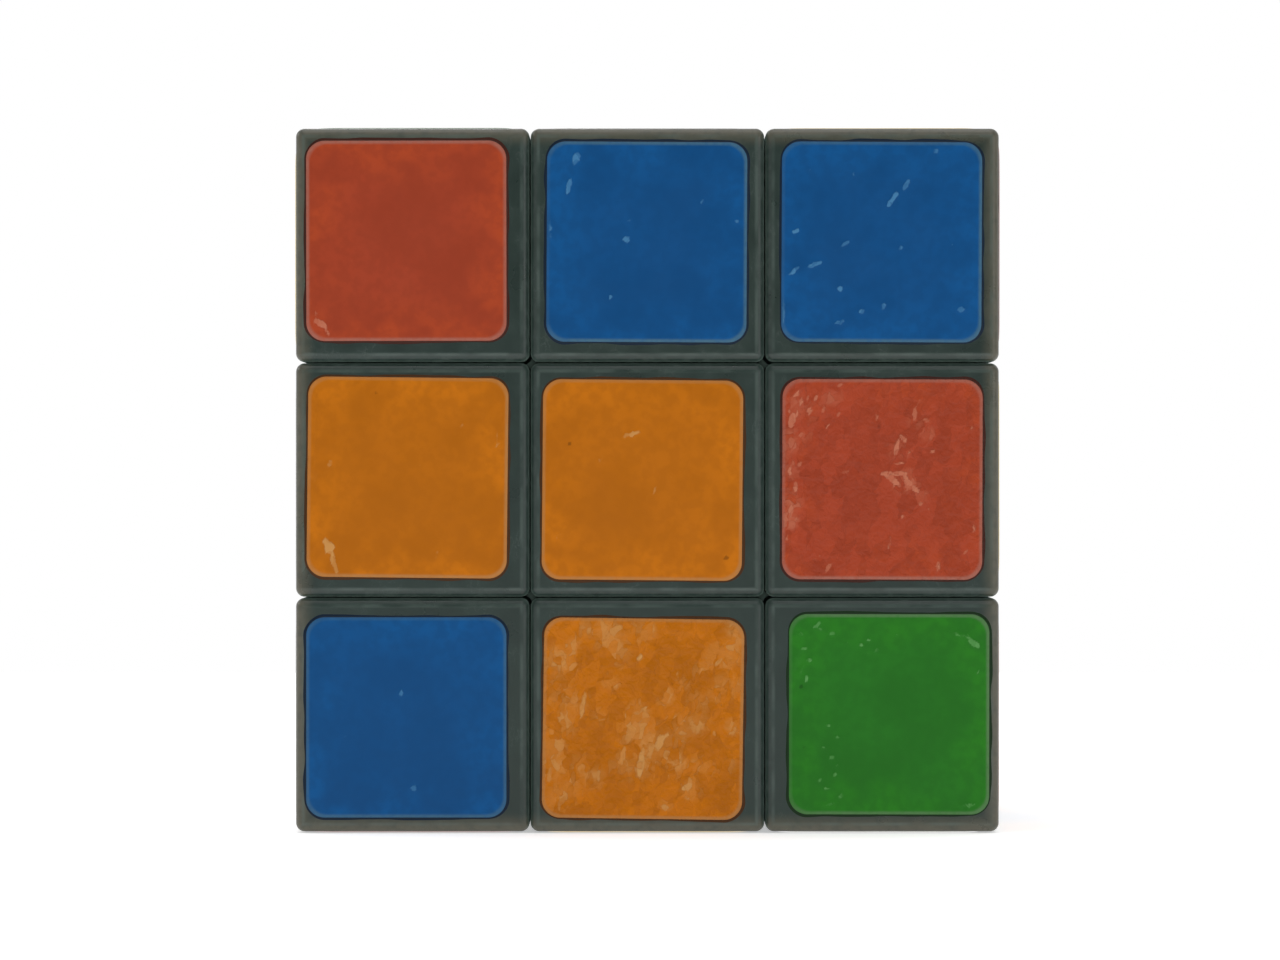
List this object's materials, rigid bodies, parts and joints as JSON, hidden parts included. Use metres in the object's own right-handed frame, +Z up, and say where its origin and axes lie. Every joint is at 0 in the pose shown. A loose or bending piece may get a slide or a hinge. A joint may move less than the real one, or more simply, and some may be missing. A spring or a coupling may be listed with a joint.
{
  "type": "twisty cube puzzle",
  "caption": "Cube-shaped twisting puzzle with three turning layers along each axis, dark plastic pieces and worn square colour labels.",
  "frame": {"origin": "centre of the core, where the three turning axes cross, which is also the centre of the cube", "axes": "+X to the right, -Y out of the front face, +Z up out of the top face"},
  "size_m": [0.0572, 0.0572, 0.0572],
  "materials": {
    "black_plastic": "satin",
    "core_plastic": "matte",
    "steel": "zinc plated",
    "label_white": "glossy vinyl",
    "label_yellow": "glossy vinyl",
    "label_red": "glossy vinyl",
    "label_orange": "glossy vinyl",
    "label_blue": "glossy vinyl",
    "label_green": "glossy vinyl"
  },
  "bodies": {
    "core": {"core": "core_plastic", "tension_screws_and_springs": "steel"},
    "corner_front_bottom_left": {"corner_front_bottom_left": "black_plastic", "labels_corner_front_bottom_left": "label_blue"},
    "edge_front_left": {"edge_front_left": "black_plastic", "labels_edge_front_left": "label_orange"},
    "corner_front_top_left": {"corner_front_top_left": "black_plastic", "labels_corner_front_top_left": "label_red"},
    "edge_bottom_left": {"edge_bottom_left": "black_plastic", "labels_edge_bottom_left": "label_red"},
    "center_left": {"center_left": "black_plastic", "center_cap_left": "black_plastic", "label_center_left": "label_blue"},
    "edge_top_left": {"edge_top_left": "black_plastic", "labels_edge_top_left": "label_green"},
    "corner_back_bottom_left": {"corner_back_bottom_left": "black_plastic", "labels_corner_back_bottom_left": "label_green"},
    "edge_back_left": {"edge_back_left": "black_plastic", "labels_edge_back_left": "label_green"},
    "corner_back_top_left": {"corner_back_top_left": "black_plastic", "labels_corner_back_top_left": "label_green"},
    "edge_front_bottom": {"edge_front_bottom": "black_plastic", "labels_edge_front_bottom": "label_orange"},
    "center_front": {"center_front": "black_plastic", "center_cap_front": "black_plastic", "label_center_front": "label_orange"},
    "edge_front_top": {"edge_front_top": "black_plastic", "labels_edge_front_top": "label_blue"},
    "center_bottom": {"center_bottom": "black_plastic", "center_cap_bottom": "black_plastic", "label_center_bottom": "label_yellow"},
    "center_top": {"center_top": "black_plastic", "center_cap_top": "black_plastic", "label_center_top": "label_white"},
    "edge_back_bottom": {"edge_back_bottom": "black_plastic", "labels_edge_back_bottom": "label_red"},
    "center_back": {"center_back": "black_plastic", "center_cap_back": "black_plastic", "label_center_back": "label_red"},
    "edge_back_top": {"edge_back_top": "black_plastic", "labels_edge_back_top": "label_green"},
    "corner_front_bottom_right": {"corner_front_bottom_right": "black_plastic", "labels_corner_front_bottom_right": "label_green"},
    "edge_front_right": {"edge_front_right": "black_plastic", "labels_edge_front_right": "label_red"},
    "corner_front_top_right": {"corner_front_top_right": "black_plastic", "labels_corner_front_top_right": "label_blue"},
    "edge_bottom_right": {"edge_bottom_right": "black_plastic", "labels_edge_bottom_right": "label_yellow"},
    "center_right": {"center_right": "black_plastic", "center_cap_right": "black_plastic", "label_center_right": "label_green"},
    "edge_top_right": {"edge_top_right": "black_plastic", "labels_edge_top_right": "label_orange"},
    "corner_back_bottom_right": {"corner_back_bottom_right": "black_plastic", "labels_corner_back_bottom_right": "label_blue"},
    "edge_back_right": {"edge_back_right": "black_plastic", "labels_edge_back_right": "label_orange"},
    "corner_back_top_right": {"corner_back_top_right": "black_plastic", "labels_corner_back_top_right": "label_yellow"}
  },
  "joints": [
    {"name": "front_turn", "type": "hinge", "parent": "core", "child": "center_front", "pos_m": [0, 0, 0], "axis": [0, 1, 0], "continuous": true},
    {"name": "back_turn", "type": "hinge", "parent": "core", "child": "center_back", "pos_m": [0, 0, 0], "axis": [0, 1, 0], "continuous": true},
    {"name": "top_turn", "type": "hinge", "parent": "core", "child": "center_top", "pos_m": [0, 0, 0], "axis": [0, 0, 1], "continuous": true},
    {"name": "bottom_turn", "type": "hinge", "parent": "core", "child": "center_bottom", "pos_m": [0, 0, 0], "axis": [0, 0, 1], "continuous": true},
    {"name": "left_turn", "type": "hinge", "parent": "core", "child": "center_left", "pos_m": [0, 0, 0], "axis": [1, 0, 0], "continuous": true},
    {"name": "right_turn", "type": "hinge", "parent": "core", "child": "center_right", "pos_m": [0, 0, 0], "axis": [1, 0, 0], "continuous": true},
    {"name": "edge_front_left_ride", "type": "hinge", "parent": "center_front", "child": "edge_front_left", "pos_m": [0, 0, 0], "axis": [1, 0, 0], "continuous": true},
    {"name": "edge_bottom_left_ride", "type": "hinge", "parent": "center_left", "child": "edge_bottom_left", "pos_m": [0, 0, 0], "axis": [0, 0, 1], "continuous": true},
    {"name": "edge_top_left_ride", "type": "hinge", "parent": "center_left", "child": "edge_top_left", "pos_m": [0, 0, 0], "axis": [0, 0, 1], "continuous": true},
    {"name": "edge_back_left_ride", "type": "hinge", "parent": "center_back", "child": "edge_back_left", "pos_m": [0, 0, 0], "axis": [1, 0, 0], "continuous": true},
    {"name": "edge_front_bottom_ride", "type": "hinge", "parent": "center_bottom", "child": "edge_front_bottom", "pos_m": [0, 0, 0], "axis": [0, 1, 0], "continuous": true},
    {"name": "edge_front_top_ride", "type": "hinge", "parent": "center_top", "child": "edge_front_top", "pos_m": [0, 0, 0], "axis": [0, 1, 0], "continuous": true},
    {"name": "edge_back_bottom_ride", "type": "hinge", "parent": "center_bottom", "child": "edge_back_bottom", "pos_m": [0, 0, 0], "axis": [0, 1, 0], "continuous": true},
    {"name": "edge_back_top_ride", "type": "hinge", "parent": "center_top", "child": "edge_back_top", "pos_m": [0, 0, 0], "axis": [0, 1, 0], "continuous": true},
    {"name": "edge_front_right_ride", "type": "hinge", "parent": "center_front", "child": "edge_front_right", "pos_m": [0, 0, 0], "axis": [1, 0, 0], "continuous": true},
    {"name": "edge_bottom_right_ride", "type": "hinge", "parent": "center_right", "child": "edge_bottom_right", "pos_m": [0, 0, 0], "axis": [0, 0, 1], "continuous": true},
    {"name": "edge_top_right_ride", "type": "hinge", "parent": "center_right", "child": "edge_top_right", "pos_m": [0, 0, 0], "axis": [0, 0, 1], "continuous": true},
    {"name": "edge_back_right_ride", "type": "hinge", "parent": "center_back", "child": "edge_back_right", "pos_m": [0, 0, 0], "axis": [1, 0, 0], "continuous": true},
    {"name": "corner_front_bottom_left_ride", "type": "hinge", "parent": "edge_front_bottom", "child": "corner_front_bottom_left", "pos_m": [0, 0, 0], "axis": [1, 0, 0], "continuous": true},
    {"name": "corner_front_top_left_ride", "type": "hinge", "parent": "edge_front_top", "child": "corner_front_top_left", "pos_m": [0, 0, 0], "axis": [1, 0, 0], "continuous": true},
    {"name": "corner_back_bottom_left_ride", "type": "hinge", "parent": "edge_back_bottom", "child": "corner_back_bottom_left", "pos_m": [0, 0, 0], "axis": [1, 0, 0], "continuous": true},
    {"name": "corner_back_top_left_ride", "type": "hinge", "parent": "edge_back_top", "child": "corner_back_top_left", "pos_m": [0, 0, 0], "axis": [1, 0, 0], "continuous": true},
    {"name": "corner_front_bottom_right_ride", "type": "hinge", "parent": "edge_front_bottom", "child": "corner_front_bottom_right", "pos_m": [0, 0, 0], "axis": [1, 0, 0], "continuous": true},
    {"name": "corner_front_top_right_ride", "type": "hinge", "parent": "edge_front_top", "child": "corner_front_top_right", "pos_m": [0, 0, 0], "axis": [1, 0, 0], "continuous": true},
    {"name": "corner_back_bottom_right_ride", "type": "hinge", "parent": "edge_back_bottom", "child": "corner_back_bottom_right", "pos_m": [0, 0, 0], "axis": [1, 0, 0], "continuous": true},
    {"name": "corner_back_top_right_ride", "type": "hinge", "parent": "edge_back_top", "child": "corner_back_top_right", "pos_m": [0, 0, 0], "axis": [1, 0, 0], "continuous": true}
  ],
  "couplings": [
    {"joint": "edge_front_left_ride", "follows": "left_turn", "ratio": 1},
    {"joint": "edge_bottom_left_ride", "follows": "bottom_turn", "ratio": 1},
    {"joint": "edge_top_left_ride", "follows": "top_turn", "ratio": 1},
    {"joint": "edge_back_left_ride", "follows": "left_turn", "ratio": 1},
    {"joint": "edge_front_bottom_ride", "follows": "front_turn", "ratio": 1},
    {"joint": "edge_front_top_ride", "follows": "front_turn", "ratio": 1},
    {"joint": "edge_back_bottom_ride", "follows": "back_turn", "ratio": 1},
    {"joint": "edge_back_top_ride", "follows": "back_turn", "ratio": 1},
    {"joint": "edge_front_right_ride", "follows": "right_turn", "ratio": 1},
    {"joint": "edge_bottom_right_ride", "follows": "bottom_turn", "ratio": 1},
    {"joint": "edge_top_right_ride", "follows": "top_turn", "ratio": 1},
    {"joint": "edge_back_right_ride", "follows": "right_turn", "ratio": 1},
    {"joint": "corner_front_bottom_left_ride", "follows": "left_turn", "ratio": 1},
    {"joint": "corner_front_top_left_ride", "follows": "left_turn", "ratio": 1},
    {"joint": "corner_back_bottom_left_ride", "follows": "left_turn", "ratio": 1},
    {"joint": "corner_back_top_left_ride", "follows": "left_turn", "ratio": 1},
    {"joint": "corner_front_bottom_right_ride", "follows": "right_turn", "ratio": 1},
    {"joint": "corner_front_top_right_ride", "follows": "right_turn", "ratio": 1},
    {"joint": "corner_back_bottom_right_ride", "follows": "right_turn", "ratio": 1},
    {"joint": "corner_back_top_right_ride", "follows": "right_turn", "ratio": 1}
  ]
}
